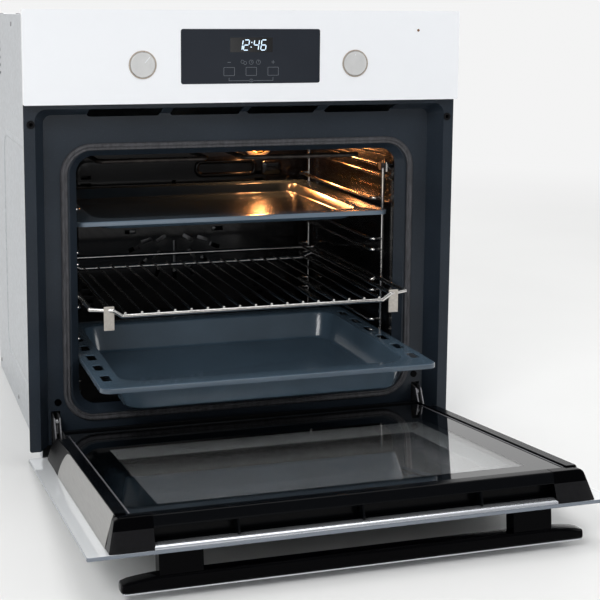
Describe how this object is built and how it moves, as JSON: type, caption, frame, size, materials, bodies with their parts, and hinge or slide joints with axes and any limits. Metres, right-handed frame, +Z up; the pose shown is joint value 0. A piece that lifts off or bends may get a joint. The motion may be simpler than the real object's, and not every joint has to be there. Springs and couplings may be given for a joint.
{
  "type": "built-in wall oven",
  "caption": "Single built-in oven with a control panel over a drop-down glass door that hangs open, side racks, an enamelled tray, a wire shelf and a deep pan.",
  "frame": {"origin": "middle of the case's underside, 300 mm behind the face of the control panel", "axes": "+X to the right seen from the front, +Y into the oven, +Z up"},
  "size_m": [0.595, 0.9806, 0.595],
  "materials": {
    "white_paint": "smooth semi-gloss",
    "display_glass": "polished",
    "circuit": "satin",
    "knob_metal": "satin",
    "led_clear": "polished",
    "steel": "satin",
    "frame_enamel": "speckled gloss enamel",
    "cavity_enamel": "speckled gloss enamel",
    "seal": "matte",
    "chrome": "polished",
    "heater": "oxidised satin",
    "wool": "matte fibre",
    "zinc_case": "galvanised",
    "black_plastic": "matte",
    "gloss_black": "gloss",
    "front_glass": "polished, white print behind with a dark window",
    "rail_paint": "gloss black",
    "clear_glass": "polished",
    "side_paint": "satin",
    "aluminium": "anodised satin",
    "tray_enamel": "gloss enamel"
  },
  "bodies": {
    "oven": {"air_duct": "zinc_case", "base_panel": "zinc_case", "blower_housing": "zinc_case", "blower_motor": "steel", "bottom_element": "heater", "cavity_liner": "cavity_enamel", "control_panel": "white_paint", "convection_motor": "steel", "display_board": "circuit", "display_window": "display_glass", "door_gasket": "seal", "fan_cover": "cavity_enamel", "frame_screw": "gloss_black", "front_frame": "frame_enamel", "function_switch": "black_plastic", "grill_element": "heater", "hinge_bracket_left": "steel", "hinge_bracket_right": "steel", "insulation": "wool", "knob_bezel": "knob_metal", "lamp_bulb": "clear_glass", "lamp_glass": "clear_glass", "led_lens": "led_clear", "rack_stud": "steel", "rear_panel": "zinc_case", "side_panel": "zinc_case", "side_rack_left": "chrome", "side_rack_right": "chrome", "temperature_probe": "steel", "terminal_block": "black_plastic", "thermostat_switch": "black_plastic", "top_panel": "zinc_case"},
    "door": {"outer_glass": "front_glass", "middle_glass": "clear_glass", "inner_glass": "clear_glass", "door_rail_left": "rail_paint", "door_rail_right": "rail_paint", "door_side_left": "side_paint", "door_side_right": "side_paint", "top_profile": "rail_paint", "end_cap_left": "gloss_black", "end_cap_right": "gloss_black", "top_strip": "aluminium", "bottom_rail": "rail_paint", "hinge_arm": "steel", "handle_bar": "gloss_black", "handle_post": "gloss_black", "handle_face": "aluminium", "handle_screw": "steel"},
    "function_shaft": {"function_shaft": "steel"},
    "function_knob": {"function_knob": "knob_metal"},
    "thermostat_shaft": {"thermostat_shaft": "steel"},
    "thermostat_knob": {"thermostat_knob": "knob_metal"},
    "convection_fan": {"convection_fan": "steel"},
    "blower_rotor": {"blower_rotor": "black_plastic"},
    "hinge_catch_left": {"hinge_catch_left": "steel"},
    "hinge_catch_right": {"hinge_catch_right": "steel"},
    "baking_tray": {"baking_tray": "tray_enamel"},
    "wire_shelf": {"wire_shelf": "chrome"},
    "deep_pan": {"deep_pan": "tray_enamel"}
  },
  "joints": [
    {"name": "door_hinge", "type": "hinge", "parent": "oven", "child": "door", "pos_m": [0, -0.284, 0.025], "axis": [-1, 0, 0], "range_deg": [0, 84]},
    {"name": "deep_pan_slide", "type": "slide", "parent": "oven", "child": "deep_pan", "axis": [0, 1, 0], "range_m": [0, 0.177]},
    {"name": "wire_shelf_slide", "type": "slide", "parent": "oven", "child": "wire_shelf", "axis": [0, 1, 0], "range_m": [0, 0.08]},
    {"name": "baking_tray_slide", "type": "slide", "parent": "oven", "child": "baking_tray", "axis": [0, 1, 0], "range_m": [-0.3, 0]},
    {"name": "function_turn", "type": "hinge", "parent": "oven", "child": "function_shaft", "pos_m": [-0.1453, -0.28, 0.525], "axis": [0, 1, 0], "continuous": true},
    {"name": "function_push", "type": "slide", "parent": "function_shaft", "child": "function_knob", "axis": [0, -1, 0], "range_m": [0, 0.012]},
    {"name": "thermostat_turn", "type": "hinge", "parent": "oven", "child": "thermostat_shaft", "pos_m": [0.1453, -0.28, 0.525], "axis": [0, 1, 0], "range_deg": [0, 285]},
    {"name": "thermostat_push", "type": "slide", "parent": "thermostat_shaft", "child": "thermostat_knob", "axis": [0, -1, 0], "range_m": [0, 0.012]},
    {"name": "convection_fan_spin", "type": "hinge", "parent": "oven", "child": "convection_fan", "pos_m": [0, 0.15, 0.235], "axis": [0, 1, 0], "continuous": true},
    {"name": "blower_spin", "type": "hinge", "parent": "oven", "child": "blower_rotor", "pos_m": [0, 0.03, 0.5], "axis": [0, 0, 1], "continuous": true},
    {"name": "catch_left_fold", "type": "hinge", "parent": "oven", "child": "hinge_catch_left", "pos_m": [-0.2591, -0.27, 0.053], "axis": [1, 0, 0], "range_deg": [-60, 0]},
    {"name": "catch_right_fold", "type": "hinge", "parent": "oven", "child": "hinge_catch_right", "pos_m": [0.2591, -0.27, 0.053], "axis": [1, 0, 0], "range_deg": [-60, 0]}
  ],
  "couplings": [
    {"joint": "deep_pan_slide", "follows": "door_hinge", "m_per_rad": 0.1207},
    {"joint": "wire_shelf_slide", "follows": "door_hinge", "m_per_rad": 0.0545}
  ]
}
